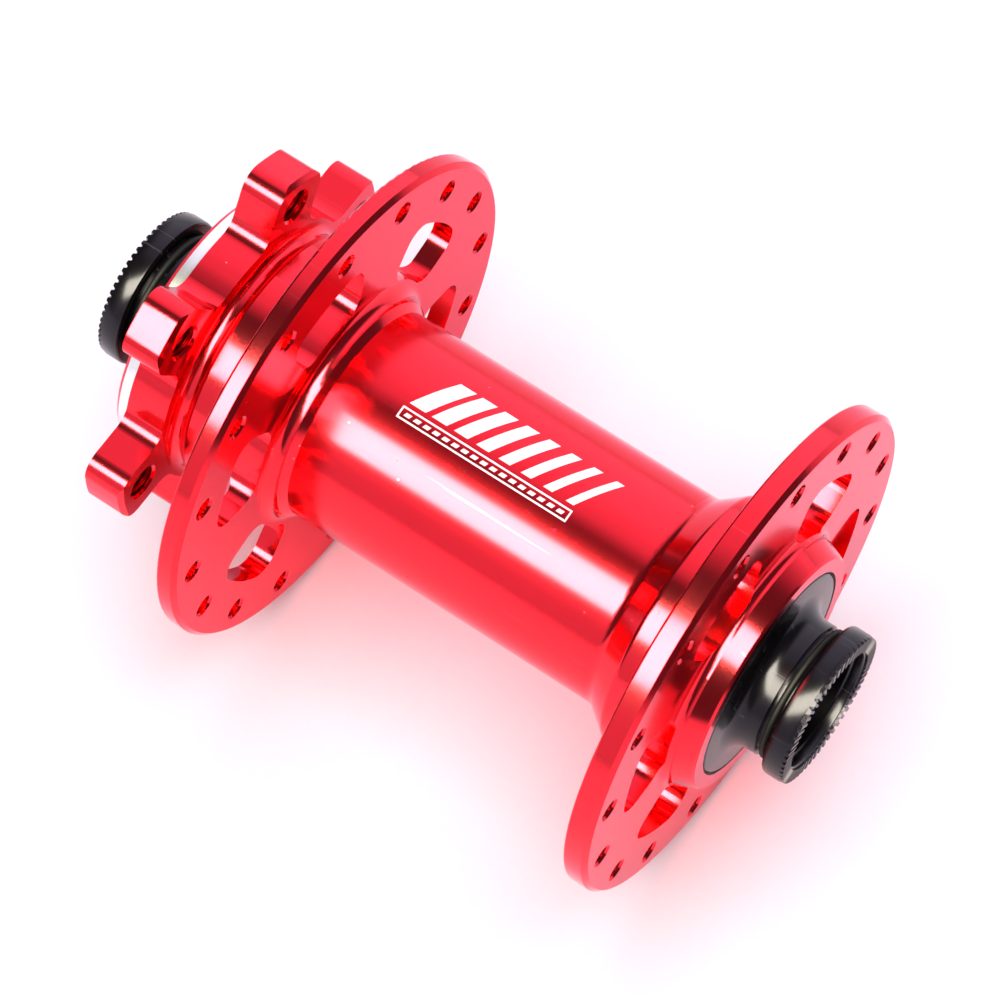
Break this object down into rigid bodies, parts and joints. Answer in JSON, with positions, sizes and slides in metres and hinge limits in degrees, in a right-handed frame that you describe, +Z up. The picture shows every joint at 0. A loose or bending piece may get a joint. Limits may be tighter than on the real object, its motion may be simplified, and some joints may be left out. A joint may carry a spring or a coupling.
{
  "type": "bicycle front hub",
  "caption": "Front bicycle hub for a thru axle and a bolt-on disc rotor, with windowed spoke flanges, sealed bearings and push-in end caps.",
  "frame": {"origin": "on the spin axis, half way between the two fork faces", "axes": "+Y along the spin axis towards the disc side, +Z up, +X across"},
  "size_m": [0.0664, 0.1, 0.0664],
  "materials": {
    "red_anodised": "glossy anodised",
    "black_anodised": "satin anodised",
    "rubber": "matte",
    "seal_rubber": "matte",
    "bearing_steel": "ground and polished",
    "cage_steel": "pressed steel",
    "axle_alloy": "machined"
  },
  "bodies": {
    "axle": {"axle_tube": "axle_alloy", "left_end_cap": "black_anodised", "left_end_cap_ring": "rubber", "left_spigot_ring": "rubber", "left_inner_race": "bearing_steel", "right_end_cap": "black_anodised", "right_end_cap_ring": "rubber", "right_spigot_ring": "rubber", "right_inner_race": "bearing_steel"},
    "hub": {"hub_shell": "red_anodised", "left_outer_race": "bearing_steel", "right_outer_race": "bearing_steel", "left_inboard_seal": "seal_rubber", "left_outboard_seal": "seal_rubber", "right_inboard_seal": "seal_rubber", "right_outboard_seal": "seal_rubber"},
    "left_cage": {"left_balls": "bearing_steel", "left_ball_cage": "cage_steel"},
    "right_cage": {"right_balls": "bearing_steel", "right_ball_cage": "cage_steel"}
  },
  "joints": [
    {"name": "hub_spin", "type": "hinge", "parent": "axle", "child": "hub", "pos_m": [0, 0, 0], "axis": [0, 1, 0], "continuous": true},
    {"name": "left_cage_spin", "type": "hinge", "parent": "axle", "child": "left_cage", "pos_m": [0, 0.0371, 0], "axis": [0, 1, 0], "continuous": true},
    {"name": "right_cage_spin", "type": "hinge", "parent": "axle", "child": "right_cage", "pos_m": [0, -0.0371, 0], "axis": [0, 1, 0], "continuous": true}
  ],
  "couplings": [
    {"joint": "left_cage_spin", "follows": "hub_spin", "ratio": 0.5706},
    {"joint": "right_cage_spin", "follows": "hub_spin", "ratio": 0.5706}
  ]
}
